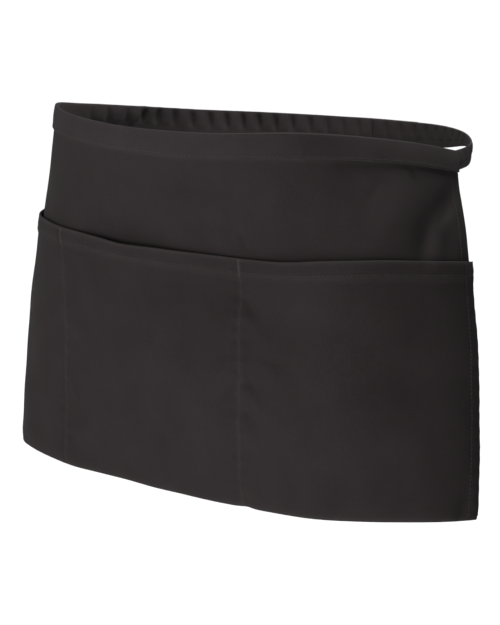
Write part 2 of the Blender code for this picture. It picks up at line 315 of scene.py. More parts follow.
def smooth_row(values: np.ndarray, share: np.ndarray) -> np.ndarray:
    """Read even stations along a smooth curve through them.

    A cubic joins each two stations, with the slope at a station half the rise between its
    neighbours (Catmull-Rom).

    Args:
        values: the stations' values, along the first axis; further axes are read elementwise.
        share: places from 0 to 1, of the shape of the further axes or of any shape without them.

    Returns:
        The values at the places.
    """
    values = np.asarray(values, dtype=float)
    share = np.asarray(share, dtype=float)
    last = len(values) - 1
    place = np.clip(share, 0.0, 1.0) * last
    start = np.minimum(place.astype(int), last - 1)
    step = place - start
    ends = np.concatenate([[2 * values[0] - values[1]], values, [2 * values[-1] - values[-2]]])
    if values.ndim == 1:
        before, here, after, beyond = (ends[start + k] for k in range(4))
    else:
        step = step[..., None]
        pick = np.broadcast_to(start[None, ..., None], (1, *values.shape[1:]))
        before, here, after, beyond = (np.take_along_axis(ends, pick + k, axis=0)[0]
                                       for k in range(4))
    return 0.5 * (2 * here + (after - before) * step
                  + (2 * before - 5 * here + 4 * after - beyond) * step ** 2
                  + (3 * here - before - 3 * after + beyond) * step ** 3)


def walk(headings: tuple, length: float, steps: int = 3000) -> tuple[np.ndarray, np.ndarray]:
    """Walk a length in the plan, turning smoothly through the headings.

    Args:
        headings: degrees from +X at even stations.
        length: the length walked, in metres.
        steps: how many even steps it takes.

    Returns:
        The share walked and the x and y after each step.
    """
    share = np.linspace(0.0, 1.0, steps + 1)
    angle = np.radians(smooth_row(headings, share))
    turn = np.column_stack([np.cos(angle), np.sin(angle)])
    path = np.zeros((steps + 1, 2))
    path[1:] = np.cumsum((turn[1:] + turn[:-1]) / 2 * length / steps, axis=0)
    return share, path


def relief_of(folds: tuple, across: np.ndarray, down: np.ndarray) -> np.ndarray:
    """Add up folds: each rises as exp(-along^2 - off^2), along and off its line in half sizes.

    Args:
        folds: rows of Fold.
        across: places across, from -1 to 1.
        down: places down, in metres.

    Returns:
        How far the cloth stands out at each place, in metres.
    """
    relief = np.zeros(np.broadcast(across, down).shape)
    for fold in folds:
        lean = math.radians(fold.lean)
        beside = (across - fold.across) * SIZES.width / 2
        below = down - fold.down * SIZES.length
        along = below * math.cos(lean) + beside * math.sin(lean)
        off = beside * math.cos(lean) - below * math.sin(lean)
        relief += fold.rise * SIZES.length * np.exp(
            -(along / (fold.half_length * SIZES.length)) ** 2
            - (off / (fold.half_width * SIZES.length)) ** 2)
    return relief


# Surfaces -----------------------------------------------------------------------------------------

@dataclass
class Spot:
    """Places on the cloth: points and the unit directions outward, down it and along it."""

    point: np.ndarray
    outward: np.ndarray
    downward: np.ndarray
    sideways: np.ndarray

    def off(self, distance: np.ndarray | float) -> np.ndarray:
        """The points moved outward by a distance."""
        return self.point + self.outward * np.broadcast_to(distance, self.point.shape[:-1])[..., None]

    def arc(self, centre: np.ndarray, radius: np.ndarray | float, angles: np.ndarray) -> np.ndarray:
        """Points on a round about each centre, by angles from outward towards down the cloth."""
        return np.stack([centre + radius * (math.cos(a) * self.outward + math.sin(a) * self.downward)
                         for a in angles])


class Drape:
    """The body cloth's middle surface as a function of across, -1 to 1, and down, in metres."""

    def __init__(self, sizes: ApronSizes) -> None:
        """Walk every level's curve and hang each below the one above by the cut length.

        Args:
            sizes: the apron's cut sizes.
        """
        self.sizes = sizes
        curves: list[np.ndarray] = []
        for level, above in zip(LEVELS, (None, *LEVELS)):
            share, path = walk(level.headings, sizes.width)
            plan = path - path[len(path) // 2] + np.array([level.aside, level.back]) * sizes.length
            plan -= np.array([sizes.waist_aside, sizes.waist_back])
            if above is None:
                height = sizes.band_height / 2 + smooth_row(TOP_RISE, share) * sizes.length
            else:
                hang = (level.down - above.down) * sizes.length
                swing = np.linalg.norm(plan - curves[-1][:, :2], axis=1)
                height = height - np.sqrt(hang ** 2 - swing ** 2)
            curves.append(np.column_stack([plan, height]))
        self.shares = share * 2 - 1
        self.curves = curves

    def hung(self, across: np.ndarray, down: np.ndarray) -> np.ndarray:
        """Points of the cloth before its folds: each level's curve, joined smoothly downwards."""
        levels = np.stack([read_rows(across, self.shares, curve) for curve in self.curves])
        return smooth_row(levels, down / self.sizes.length)

    def directions(self, surface: Callable, across: np.ndarray, down: np.ndarray) -> Spot:
        """Take the directions of a surface from its differences over a fraction of a millimetre.

        Args:
            surface: a function of across and down that returns points.
            across: places across.
            down: places down, in metres.

        Returns:
            The spots at these places.
        """
        right, left = (np.clip(across + step, -1, 1) for step in (-3 * STEP, 3 * STEP))
        high, low = (np.clip(down + step, 0, self.sizes.length) for step in (-STEP, STEP))
        along = surface(left, down) - surface(right, down)
        below = surface(across, low) - surface(across, high)
        return Spot(surface(across, down), unit(np.cross(below, along)), unit(below), unit(along))

    def folded(self, across: np.ndarray, down: np.ndarray) -> np.ndarray:
        """Points of the cloth with its folds, drawn in behind the pockets by a layer.

        Args:
            across: places across, from -1 to 1.
            down: places down, in metres.

        Returns:
            The points.
        """
        seat = self.sizes.fold_outside * smooth_step(down / self.sizes.mouth)
        relief = relief_of(FOLDS + CREASES, across, down) - seat + self.slack(across, down)
        return self.directions(self.hung, across, down).off(relief)

    def slack(self, across: np.ndarray, down: np.ndarray) -> np.ndarray:
        """Faint unevenness of soft cloth: the long waves, which start below the band.

        Args:
            across: places across, from -1 to 1.
            down: places down, in metres.

        Returns:
            How far the cloth stands out, in metres.
        """
        beside = across * self.sizes.width / 2
        waves = sum(wave.rise * np.sin(wave.across * beside + wave.down * down + wave.phase)
                    for wave in WAVES)
        return waves * smooth_step((down - self.sizes.band_height) / SEWN.slack_ease)

    def spot(self, across: np.ndarray | float, down: np.ndarray | float) -> Spot:
        """The folded cloth's points and directions at places on it."""
        across, down = np.broadcast_arrays(np.asarray(across, float), np.asarray(down, float))
        return self.directions(self.folded, across, down)

    def layer(self, across: np.ndarray | float, down: np.ndarray,
              offset: np.ndarray | float) -> np.ndarray:
        """Points of a layer that lies a distance outside the body cloth."""
        return self.spot(across, down).off(offset)

    def pocket_stand(self, across: np.ndarray | float, down: np.ndarray | float) -> np.ndarray:
        """How far the pocket layer's middle lies outside the body cloth's.

        Two layers behind the mouth's hem, one below it, and each pocket's gape, which fades from
        its mouth to the bottom fold and to its seams. Between the stitch rows the cloth swells,
        and beside them it puckers.

        Args:
            across: places across, from -1 to 1.
            down: places down, in metres.

        Returns:
            The offset of the layer's middle, in metres.
        """
        sizes = self.sizes
        seat = sizes.layer * (2 - smooth_step((down - sizes.hem_foot) / SEWN.hem_ease))
        place = (across + 1) / 2 * sizes.pockets
        from_seam = np.abs(place - np.round(place)) * 2 / sizes.pockets
        gape = sum(g.rise * bell(across, g.across, g.half_width) for g in GAPES)
        gape = gape * smooth_step(from_seam / sizes.seam_ease)
        closing = 1 - smooth_step((down - sizes.mouth) / (sizes.pocket_depth - sizes.fold_outside))
        beside = from_seam * sizes.width / 2
        tuck = ripple(down, SEWN.tuck_pitch, SEWN.tuck_phase * across)
        puff = ripple(across * sizes.width / 2, SEWN.puff_pitch)
        swell = (SEWN.seam_swell * (1 - bell(beside, 0.0, SEWN.seam_spread))
                 + SEWN.row_swell * (1 - bell(down, sizes.mouth_row, SEWN.row_spread))
                 + SEWN.tuck * tuck * bell(beside, SEWN.tuck_reach, SEWN.tuck_reach)
                 + SEWN.puff * puff * bell(down, sizes.mouth_row, SEWN.puff_spread))
        quiet = smooth_step((sizes.length - down) / SEWN.quiet)
        return seat + gape * closing + (swell + relief_of(PUCKERS, across, down)) * quiet

    def outermost(self, across: np.ndarray | float, down: np.ndarray) -> np.ndarray:
        """Offset of the outermost layer: the body cloth above the mouth, the pockets' below it."""
        return np.where(down < self.sizes.mouth, 0.0, self.pocket_stand(across, down))


# Meshes -------------------------------------------------------------------------------------------

@dataclass
class Cloth:
    """A grid of points with its place on the weave, in metres, and how worn it is, from 0 to 1; on the
    ties this also holds painted shade in the creases.
    """

    points: np.ndarray
    weave: np.ndarray
    wear: np.ndarray
    round_rows: bool = False
    caps: bool = False


def place_object(name: str, data: bpy.types.ID) -> bpy.types.Object:
    """Make an object of a mesh, light or camera and link it to the scene.

    Args:
        name: the object's name.
        data: its mesh, light or camera.

    Returns:
        The object.
    """
    placed = bpy.data.objects.new(name, data)
    bpy.context.scene.collection.objects.link(placed)
    return placed


def weave_map(along: np.ndarray, down: np.ndarray) -> np.ndarray:
    """Places on the weave from their two parts, each given for the rows or columns it varies in."""
    return np.stack(np.broadcast_arrays(along, down), axis=-1)


def grid_faces(rows: int, columns: int, round_rows: bool) -> np.ndarray:
    """Corners of a grid's squares, rows running down the face; the last row may join the first.

    Args:
        rows: how many rows of points.
        columns: how many points in a row.
        round_rows: whether the last row joins the first.

    Returns:
        Four corners for each square.
    """
    index = np.arange(rows * columns).reshape(rows, columns)
    if round_rows:
        index = np.concatenate([index, index[:1]])
    corners = (index[:-1, :-1], index[1:, :-1], index[1:, 1:], index[:-1, 1:])
    return np.stack(corners, axis=-1).reshape(-1, 4)


def make_piece(name: str, cloth: Cloth, material: bpy.types.Material,
               wall: float = 0.0) -> bpy.types.Object:
    """Put a grid into a mesh with its weave map and wear, and give it a wall if it needs one.

    Args:
        name: the piece's name.
        cloth: the grid.
        material: the piece's finish.
        wall: thickness of the wall built to both sides, or 0 for a grid that is closed already.

    Returns:
        The piece, linked to the scene.
    """
    rows, columns = cloth.points.shape[:2]
    polygons = grid_faces(rows, columns, cloth.round_rows).tolist()
    if cloth.caps:
        polygons.append((np.arange(rows)[::-1] * columns).tolist())
        polygons.append((np.arange(rows) * columns + columns - 1).tolist())
    mesh = bpy.data.meshes.new(name)
    mesh.from_pydata(cloth.points.reshape(-1, 3).tolist(), [], polygons)
    corners = np.empty(len(mesh.loops), dtype=np.int32)
    mesh.loops.foreach_get("vertex_index", corners)
    weave = mesh.uv_layers.new(name=WEAVE_MAP)
    weave.data.foreach_set("uv", cloth.weave.reshape(-1, 2)[corners].astype(np.float32).ravel())
    wear = mesh.attributes.new(WEAR_AND_SHADE, "FLOAT", "POINT")
    worn = np.broadcast_to(cloth.wear, (rows, columns))
    wear.data.foreach_set("value", worn.astype(np.float32).ravel())
    mesh.shade_smooth()
    mesh.materials.append(material)
    piece = place_object(name, mesh)
    if wall:
        solid = piece.modifiers.new("wall", "SOLIDIFY")
        solid.thickness = wall
        solid.offset = 0.0
        solid.use_even_offset = True
        solid.use_quality_normals = True
    return piece


@dataclass(frozen=True)
class Thread:
    """Sewing thread: a stitch's length, the pitch of a row, the thread's radius, how far a stitch
    is lifted, and how far a row keeps from its ends."""

    length: float = 0.0024
    pitch: float = 0.0034
    radius: float = 0.00021
    lift: float = 0.00014
    inset: float = 0.003

    def places(self, start: float, end: float) -> np.ndarray:
        """Even places of a row from a start to an end, about a pitch apart.

        Args:
            start: where the row starts, in metres.
            end: where it ends.

        Returns:
            The stitches' places.
        """
        length = end - start - 2 * self.inset
        count = max(2, int(round(length / self.pitch)))
        return start + self.inset + (np.arange(count) + 0.5) / count * length

    def row(self, centres: np.ndarray, along: np.ndarray,
            out: np.ndarray) -> tuple[np.ndarray, np.ndarray]:
        """Lay a stitch at each centre: a thread of round section that arcs out of the cloth.

        At t from -1 to 1 along a stitch its radius is the thread's times (1 - t^2)^0.4 and it is
        lifted by (1 - t^2); four rings of six points and two tips close it.

        Args:
            centres: points on the cloth's face.
            along: unit directions of the stitches.
            out: unit directions out of the cloth.

        Returns:
            The vertices, and the triangles as corners among them.
        """
        t = np.array([-0.86, -0.4, 0.4, 0.86])[:, None]
        turn = np.arange(6) / 6 * 2 * math.pi
        bulk = self.radius * (1 - t ** 2) ** 0.4
        rings = np.stack(np.broadcast_arrays(t * self.length / 2,
                                             self.lift * (1 - t ** 2) + bulk * np.cos(turn),
                                             bulk * np.sin(turn)), axis=-1)
        tips = [(end * self.length / 2, -self.radius, 0.0) for end in (-1, 1)]
        stitch = np.concatenate([rings.reshape(-1, 3), tips])
        points = centres[:, None] + stitch @ np.stack([along, out, np.cross(out, along)], axis=1)
        ring = np.arange(rings[..., 0].size).reshape(t.size, turn.size)
        after = np.roll(ring, -1, axis=1)
        low, high = ring[:-1].ravel(), ring[1:].ravel()
        low_after, high_after = after[:-1].ravel(), after[1:].ravel()
        first_tip, last_tip = (np.full(turn.size, ring.size + end) for end in (0, 1))
        faces = np.concatenate([
            np.column_stack([low, low_after, high_after]), np.column_stack([low, high_after, high]),
            np.column_stack([first_tip, after[0], ring[0]]),
            np.column_stack([last_tip, ring[-1], after[-1]])])
        starts = np.arange(len(centres)) * len(stitch)
        return points.reshape(-1, 3), (faces[None] + starts[:, None, None]).reshape(-1, 3)


ROW = Thread()
MOUTH_ROW = Thread(inset=0.004)
SUNK_SEAM = Thread(length=0.0018, radius=0.00015, lift=0.00002)
BARTACK = Thread(length=0.0026, pitch=0.00062, radius=0.00028, lift=0.00015, inset=0.0)
TIE_ROW = Thread(length=0.0020, radius=0.00018, lift=0.00008)


def make_stitches(name: str, rows: list, material: bpy.types.Material) -> bpy.types.Object:
    """Put several rows of stitches into one piece; each row is its vertices and triangles.

    Args:
        name: the piece's name.
        rows: the rows' vertices and triangles.
        material: the thread's finish.

    Returns:
        The piece, linked to the scene.
    """
    offset = np.cumsum([0] + [len(points) for points, _ in rows])
    points = np.concatenate([points for points, _ in rows])
    faces = np.concatenate([faces + start for (_, faces), start in zip(rows, offset)])
    mesh = bpy.data.meshes.new(name)
    mesh.from_pydata(points.tolist(), [], faces.tolist())
    mesh.shade_smooth()
    mesh.materials.append(material)
    return place_object(name, mesh)


# Finishes -----------------------------------------------------------------------------------------

def shade(colour: tuple, times: float = 1.0) -> tuple:
    """A colour made lighter or darker, with full cover."""
    return (*(times * part for part in colour), 1.0)


Value = float | tuple | bpy.types.NodeSocket


class Board:
    """A material's node tree with short calls that add a node and wire it."""

    def __init__(self, name: str) -> None:
        """Start a material with its shader and output."""
        self.material = bpy.data.materials.new(name)
        self.material.use_nodes = True
        self.tree = self.material.node_tree
        self.shader = self.tree.nodes["Principled BSDF"]

    def fill(self, node: bpy.types.Node, inputs: dict) -> None:
        """Fill a node's inputs with numbers or other nodes' outputs.

        Args:
            node: the node.
            inputs: a number or an output for each input's name or index.
        """
        for socket, value in inputs.items():
            if isinstance(value, bpy.types.NodeSocket):
                self.tree.links.new(value, node.inputs[socket])
            else:
                node.inputs[socket].default_value = value

    def add(self, kind: str, inputs: dict | None = None, **settings: object) -> bpy.types.Node:
        """Add a node, set its settings and fill its inputs.

        Args:
            kind: the node's type.
            inputs: as in fill.
            settings: the node's own properties.

        Returns:
            The node.
        """
        node = self.tree.nodes.new(kind)
        for key, value in settings.items():
            setattr(node, key, value)
        self.fill(node, inputs or {})
        return node

    def math(self, operation: str, first: Value, second: Value = 0.0,
             third: Value = 0.0) -> bpy.types.NodeSocket:
        """Return the result of a sum on two or three numbers or outputs."""
        return self.add("ShaderNodeMath", {0: first, 1: second, 2: third},
                        operation=operation).outputs[0]

    def mix(self, factor: Value, first: Value, second: Value) -> bpy.types.NodeSocket:
        """Return a colour between two, by a factor."""
        return self.add("ShaderNodeMix", {0: factor, 6: first, 7: second},
                        data_type="RGBA").outputs[2]

    def noise(self, place: bpy.types.NodeSocket, scale: float, detail: float = 2.0,
              roughness: float = 0.5, dimensions: str = "2D") -> bpy.types.NodeSocket:
        """Return a noise from 0 to 1 over places."""
        inputs = {"Vector": place, "Scale": scale, "Detail": detail, "Roughness": roughness}
        return self.add("ShaderNodeTexNoise", inputs, noise_dimensions=dimensions).outputs["Fac"]

    def bump(self, height: bpy.types.NodeSocket, distance: float,
             strength: float) -> bpy.types.NodeSocket:
        """Return normals that tilt with a height."""
        return self.add("ShaderNodeBump", {"Height": height, "Strength": strength,
                                           "Distance": distance}).outputs[0]


@dataclass(frozen=True)
class TwillFinish:
    """Dyed cotton twill: diagonal ribs of yarn with painted shade in their hollows, faint unevenness of
    the dye, paler worn edges.
    """

    name: str
    colour: tuple
    pale: tuple
    rib_pitch: float = 0.0009
    rib_turn: float = 58.0
    rib_depth: float = 0.00014
    blotches_per_metre: float = 26.0
    specks_per_metre: float = 420.0
    deep: float = 0.55
    light: float = 1.45
    roughness: float = 0.90
    sheen: float = 0.004
    specular: float = 0.04

    def material(self) -> bpy.types.Material:
        """Build the finish.

        The ribs are a wave across the weave map turned by the twill's angle, broken up along each
        rib by a second wave. Both lift the surface, and their hollows are painted darker: painted
        shade.

        Returns:
            The material.
        """
        board = Board(self.name)
        place = board.add("ShaderNodeUVMap", uv_map=WEAVE_MAP).outputs[0]
        turned = board.add("ShaderNodeMapping", {
            "Vector": place, "Rotation": (0, 0, math.radians(self.rib_turn)),
            "Scale": (1 / self.rib_pitch,) * 3}).outputs[0]
        wobble = board.noise(turned, 0.35)
        parts = board.add("ShaderNodeSeparateXYZ", {0: turned})
        rib_place = board.math("MULTIPLY_ADD", wobble, 0.8, parts.outputs[0])
        rib = board.math("SINE", board.math("MULTIPLY", rib_place, 2 * math.pi))
        yarn_place = board.math("MULTIPLY_ADD", rib_place, 0.5, parts.outputs[1])
        yarn = board.math("SINE", board.math("MULTIPLY", yarn_place, 2 * math.pi))
        weave = board.math("MULTIPLY_ADD", yarn, 0.35, rib)
        fuzz = board.noise(turned, 1.7, detail=3.0)
        height = board.math("MULTIPLY_ADD", fuzz, 0.5, board.math("MULTIPLY_ADD", weave, 0.37, 0.5))
        blotch = board.noise(place, self.blotches_per_metre, detail=4.0, roughness=0.6)
        speck = board.noise(place, self.specks_per_metre)
        dye = board.math("MULTIPLY_ADD", blotch, 0.46, board.math("MULTIPLY", speck, 0.30))
        # The dye's blotches and specks, plus painted shade: the ribs' hollows are coloured darker.
        dye_and_shade = board.math("MULTIPLY_ADD", height, 0.26, dye)
        cloth = board.mix(dye_and_shade, shade(self.colour, self.deep), shade(self.colour, self.light))
        worn = board.add("ShaderNodeAttribute", attribute_name=WEAR_AND_SHADE).outputs["Fac"]
        # Wear lightens the cloth towards its pale colour; on the ties it also holds painted shade,
        # darker in the creases than on the swells.
        wear_and_crease_shade = board.math("MULTIPLY", worn, board.math("MULTIPLY_ADD", fuzz, 0.9, 0.35))
        board.fill(board.shader, {
            "Base Color": board.mix(wear_and_crease_shade, cloth, shade(self.pale)),
            "Roughness": board.math("MULTIPLY_ADD", fuzz, 0.10, self.roughness - 0.05),
            "Normal": board.bump(height, self.rib_depth, 0.8),
            "Specular IOR Level": self.specular,
            "Sheen Weight": self.sheen, "Sheen Roughness": 0.5})
        return board.material


@dataclass(frozen=True)
class PlainFinish:
    """A finish of one colour made uneven between two shades of it by a noise, which may lift it."""

    name: str
    colour: tuple
    shades: tuple
    noise_per_metre: float
    roughness: float
    specular: float
    relief: float = 0.0

    def material(self) -> bpy.types.Material:
        """Build the finish; on thread the noise stands for its twist.

        Returns:
            The material.
        """
        board = Board(self.name)
        place = board.add("ShaderNodeTexCoord").outputs["Object"]
        noise = board.noise(place, self.noise_per_metre, dimensions="3D")
        low, high = (shade(self.colour, times) for times in self.shades)
        board.fill(board.shader, {"Base Color": board.mix(noise, low, high),
                                  "Roughness": self.roughness, "Specular IOR Level": self.specular})
        if self.relief:
            board.fill(board.shader, {"Normal": board.bump(noise, self.relief, 0.5)})
        return board.material


PANEL_TWILL = TwillFinish("black twill", (0.0138, 0.0114, 0.0118), (0.036, 0.032, 0.032))
# The binding's colour and pale are lighter than the panel's: a painted sheen of the band.
BINDING_TWILL = TwillFinish("black binding", (0.0160, 0.0133, 0.0138), (0.040, 0.036, 0.036),
                            rib_pitch=0.0008, rib_turn=32.0, rib_depth=0.00010)
STITCH_THREAD = PlainFinish("black thread", (0.0290, 0.0265, 0.0270), (0.6, 1.4), 2600.0,
                            roughness=0.6, specular=0.08, relief=0.0001)
PALE_FLOOR = PlainFinish("pale floor", (0.95, 0.95, 0.95), (0.99, 1.0), 0.8,
                         roughness=0.9, specular=0.1)


# Pieces of the apron ------------------------------------------------------------------------------

@dataclass
class Assembly:
    """A sub-assembly of sewn pieces: the drape it lies on and its cloth's and thread's finishes."""

    drape: Drape
    finish: bpy.types.Material
    thread: bpy.types.Material
    sizes: ApronSizes = SIZES
    pieces: list = field(default_factory=list)

    def sew(self, name: str, rows: list, node: str) -> bpy.types.Object:
        """Put rows of stitches into one piece.

        Args:
            name: the piece's name.
            rows: the rows' vertices and triangles.
            node: not used.

        Returns:
            The piece.
        """
        piece = make_stitches(name, rows, self.thread)
        return piece


@dataclass
class BodyPanel(Assembly):
    """The cloth behind the pockets, with its turned side hems.

    The grid has its rows in the band, above the mouth and behind the pockets, finer where the
    cloth shows. A hem's round takes up a run of the weave for each radian, and its strip starts
    where the round ends.
    """

    columns: int = 304
    rows: tuple = (6, 46, 58)
    hem_rows: tuple = (40, 80)
    round_run: float = 0.002
    strip_start: float = 0.0063

    def depths(self) -> np.ndarray:
        """Rows of the grid, from inside the band down to the bottom fold."""
        sizes = self.sizes
        band, shown, hidden = self.rows
        return np.concatenate([np.linspace(sizes.fold_outside, sizes.band_height, band),
                               np.linspace(sizes.band_height, sizes.mouth, shown)[1:],
                               np.linspace(sizes.mouth, sizes.lower_edge, hidden)[1:]])

    def cloth(self) -> bpy.types.Object:
        """The panel: the drape's surface over its whole width."""
        wide, deep = np.meshgrid(np.linspace(-1, 1, self.columns + 1), self.depths())
        points = self.drape.layer(wide, deep, 0.0)
        weave = weave_map(wide * self.sizes.width / 2, -deep)
        wear = 0.25 * bell(deep, self.sizes.band_height, 0.002)
        piece = make_piece("body_cloth", Cloth(points, weave, wear), self.finish, self.sizes.cloth)
        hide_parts("body_panel")
        return piece

    def hem(self, side: Side) -> bpy.types.Object:
        """A turned hem: half a round about the edge's layers, then a strip behind the body.

        The round is centred midway between the outermost layer and the strip, and runs from the
        front to the back; the strip then lies a layer behind the body cloth.

        Args:
            side: the side edge.

        Returns:
            The piece.
        """
        sizes = self.sizes
        top, bottom = sizes.band_height + 2 * sizes.clearance, sizes.lower_edge - sizes.layer
        above, below = self.hem_rows
        down = np.concatenate([np.linspace(top, sizes.mouth - STEP, above),
                               np.linspace(sizes.mouth + STEP, bottom, below)])
        edge = self.drape.spot(side.value, down)
        front = self.drape.outermost(side.value, down)
        radius, middle = (front + sizes.layer) / 2, (front - sizes.layer) / 2
        turn = np.linspace(0, math.pi, 9)
        arc = [edge.off(middle + radius * math.cos(a))
               + edge.sideways * side.value * (radius * math.sin(a))[:, None] for a in turn]
        inner = np.linspace(0, 1, 7)[1:]
        strip = [self.drape.layer(side.value * (1 - a * 2 * sizes.side_hem / sizes.width), down,
                                  -sizes.layer) for a in inner]
        points = np.stack(arc + strip, axis=1)
        run = np.concatenate([turn * self.round_run, self.strip_start + inner * sizes.side_hem])
        weave = weave_map(run[None, :], -down[:, None])
        wear = 0.35 * bell(run, 0.003, 0.003)[None, :]
        if side is Side.RIGHT:
            points, weave, wear = points[:, ::-1], weave[:, ::-1], wear[:, ::-1]
        piece = make_piece(f"hem_{side.word}", Cloth(points, weave, wear), self.finish, sizes.cloth)
        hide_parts(side.node)
        return piece

    def hem_stitches(self, side: Side) -> bpy.types.Object:
        """The row that holds a turned hem, seen on the outermost layer and on the strip behind.

        Args:
            side: the side edge.

        Returns:
            The piece.
        """
        sizes = self.sizes
        down = ROW.places(sizes.band_height, sizes.length)
        across = side.value * (1 - 2 * (sizes.side_hem - sizes.stitch_row) / sizes.width)
        spot = self.drape.spot(across, down)
        front = spot.off(self.drape.outermost(across, down) + sizes.cloth / 2)
        back = spot.off(-sizes.layer - sizes.cloth / 2)
        rows = [ROW.row(front, spot.downward, spot.outward),
                ROW.row(back, spot.downward, -spot.outward)]
        return self.sew(f"hem_stitches_{side.word}", rows, side.node)

    def build(self) -> None:
        cloth = self.cloth()
        hems = [self.hem(side) for side in Side]
        stitches = [self.hem_stitches(side) for side in Side]
        self.pieces = [cloth, *hems, *stitches]
        self.sizes.length - 2 * self.sizes.fold_outside


@dataclass
class PocketPanel(Assembly):
    """The front layer, folded over at the pockets' mouth and turned up round the bottom fold.

    Its rows are finer down to fine_reach below the mouth's hem. Each bartack starts tack_start
    below the mouth, and the seam's own stitches start at seam_start, where the bartack ends.
    """

    columns: int = 304
    fine_reach: float = 0.006
    over_run: float = 0.0015
    round_run: float = 0.004
    tack_start: float = 0.0008
    tack_length: float = 0.0135
    seam_start: float = 0.013

    def face(self, across: np.ndarray | float,
             down: np.ndarray | float) -> tuple[np.ndarray, Spot]:
        """Points on the layer's outer face, and the spots of the body cloth behind them."""
        spot = self.drape.spot(across, down)
        return spot.off(self.drape.pocket_stand(across, down) + self.sizes.cloth / 2), spot

    def cloth(self) -> bpy.types.Object:
        """The layer as one sheet: hem inside, round over the mouth, down the front, round the fold.

        Both rounds are half circles: at the mouth half a layer in radius about a line between the
        hem and the front, at the bottom a layer in radius about the body cloth's lower edge.
        """
        sizes, drape = self.sizes, self.drape
        across = np.linspace(-1, 1, self.columns + 1)
        spacing = sizes.layer / 2
        brim_down, fine_foot = sizes.mouth + spacing, sizes.hem_foot + self.fine_reach
        hem_down = np.linspace(sizes.hem_foot, brim_down, 7)
        front_down = np.concatenate([np.linspace(brim_down, fine_foot, 14),
                                     np.linspace(fine_foot, sizes.lower_edge, 94)[1:]])
        wide, deep = np.meshgrid(across, hem_down)
        hem = drape.layer(wide, deep, drape.pocket_stand(wide, deep) - sizes.layer)
        brim = drape.spot(across, brim_down)
        centre = brim.off(drape.pocket_stand(across, brim_down) - spacing)
        over = brim.arc(centre, spacing, np.linspace(-math.pi, 0, 7)[1:-1])
        wide, deep = np.meshgrid(across, front_down)
        front = drape.layer(wide, deep, drape.pocket_stand(wide, deep))
        edge = drape.spot(across, sizes.lower_edge)
        radius = drape.pocket_stand(across, sizes.lower_edge)[:, None]
        under = edge.arc(edge.point, radius, np.linspace(0, math.pi, 11)[1:])
        run = np.concatenate([
            2 * sizes.mouth - hem_down, sizes.mouth + np.linspace(-self.over_run, 0, len(over)),
            front_down, sizes.lower_edge + np.linspace(0.1, 1, len(under)) * self.round_run])[:, None]
        weave = weave_map(across[None, :] * sizes.width / 2, -run)
        from_seam = np.min([np.abs(across - seam) for seam in sizes.seams], axis=0) * sizes.width / 2
        wear = (0.35 * bell(run, sizes.mouth + 0.0005, 0.0016) + 0.40 * bell(run, sizes.length, 0.0030)
                + 0.22 * bell(run, sizes.hem_foot, 0.0012)
                + 0.25 * bell(from_seam, 0.0, 0.0014) * (run > sizes.mouth))
        piece = make_piece("pocket_cloth", Cloth(np.concatenate([hem, over, front, under]), weave,
                                                 np.clip(wear, 0, 1)), self.finish, sizes.cloth)
        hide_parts("pocket_panel", "pocket_hem")
        return piece

    def stitches(self) -> bpy.types.Object:
        """The row below the mouth, the two seams between the pockets and a bartack on each."""
        sizes = self.sizes
        half = sizes.width / 2
        points, spot = self.face(MOUTH_ROW.places(-half, half) / half, sizes.mouth_row)
        rows = [MOUTH_ROW.row(points, spot.sideways, spot.outward)]
        tack = sizes.mouth + self.tack_start
        for seam in sizes.seams:
            points, spot = self.face(
                seam, SUNK_SEAM.places(sizes.mouth + self.seam_start, sizes.length))
            rows.append(SUNK_SEAM.row(points, spot.downward, spot.outward))
            points, spot = self.face(seam, BARTACK.places(tack, tack + self.tack_length))
            rows.append(BARTACK.row(points, spot.sideways, spot.outward))
        return self.sew("pocket_stitches", rows, "pocket_panel")

    def back_stitches(self) -> bpy.types.Object:
        """The two seams as they show on the inside of the body cloth."""
        sizes = self.sizes
        rows = []
        for seam in sizes.seams:
            spot = self.drape.spot(seam, ROW.places(sizes.mouth, sizes.length))
            rows.append(ROW.row(spot.off(-sizes.cloth / 2), spot.downward, -spot.outward))
        return self.sew("seam_stitches_inside", rows, "body_panel")

    def build(self) -> None:
        cloth = self.cloth()
        self.pieces = [cloth, self.stitches(), self.back_stitches()]


@dataclass(frozen=True)
class Gathers:
    """Gathers of the ties and of the band's hidden end: creases between round swells.

    pitch is their spacing, first the place of the crease next to the ties' right end, depth how far
    a crease goes out of the inner face, and crease its half width as a share of the pitch. Inside
    the band they are wider, by band_share, and below the share hem of a tape there are none. They
    rise from the share edge at the upper edge to their whole depth at the share full.
    """

    pitch: float = 0.0152
    first: float = 0.0060
    depth: float = 0.0024
    crease: float = 0.17
    band_share: float = 0.62
    hem: float = 0.69
    edge: float = 0.15
    full: float = 0.25

    def creases(self, beyond: np.ndarray) -> np.ndarray:
        """Depth of the creases from 0 to 1, at distances beyond the ties' right end.

        Args:
            beyond: the distances in metres, below 0 inside the band.

        Returns:
            The depths.
        """
        beyond = np.where(beyond < 0, self.band_share * beyond, beyond)
        phase = (beyond - self.first) / self.pitch + 0.07 * np.sin(beyond * 61)
        off = phase - np.round(phase)
        return bell(off, 0.0, self.crease) + 0.15 * np.cos(2 * math.pi * off)

    def profile(self, share: np.ndarray) -> np.ndarray:
        """How much of a crease shows down the tape: little at the upper edge, none in the hem."""
        upper = self.edge + (1 - self.edge) * smooth_step(share / self.full)
        return upper * (1 - smooth_step((share - self.hem + 0.16) / 0.14))


GATHERS = Gathers()


